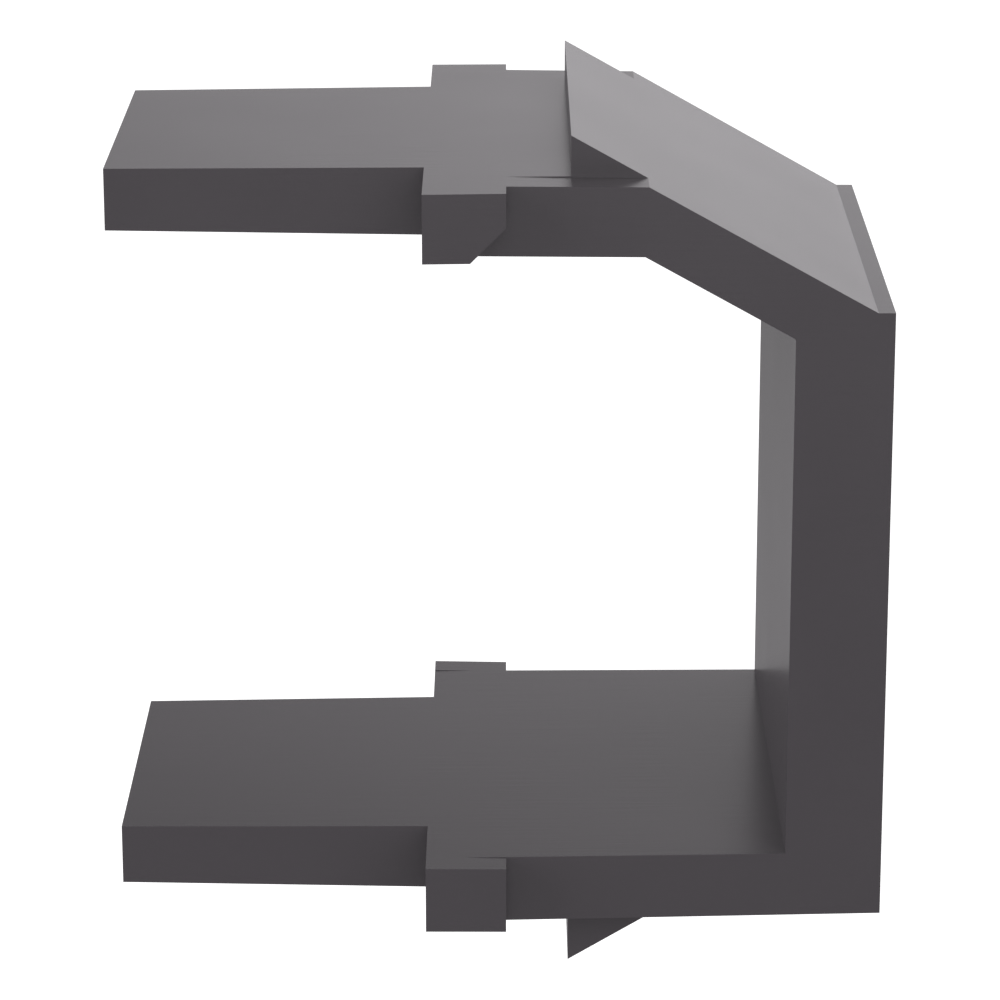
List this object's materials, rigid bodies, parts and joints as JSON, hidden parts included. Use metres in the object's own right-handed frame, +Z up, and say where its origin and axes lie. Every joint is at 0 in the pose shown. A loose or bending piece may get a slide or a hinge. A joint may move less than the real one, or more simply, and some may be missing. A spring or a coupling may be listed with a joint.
{
  "type": "blank keystone module",
  "caption": "Moulded blank that closes an unused keystone port: flat front plate, sloping top wall, and arms with snap catches, stop tabs and narrow tails.",
  "frame": {"origin": "centre of the flat front face, the face that shows when the module is in its port", "axes": "+X out of the front face towards the user, +Z up, towards the arm with the sloping wall, +Y across the width"},
  "size_m": [0.0202, 0.0164, 0.0224],
  "materials": {
    "moulded_plastic": "fine satin, as moulded"
  },
  "bodies": {
    "root": {"blank_module": "moulded_plastic"}
  },
  "joints": []
}
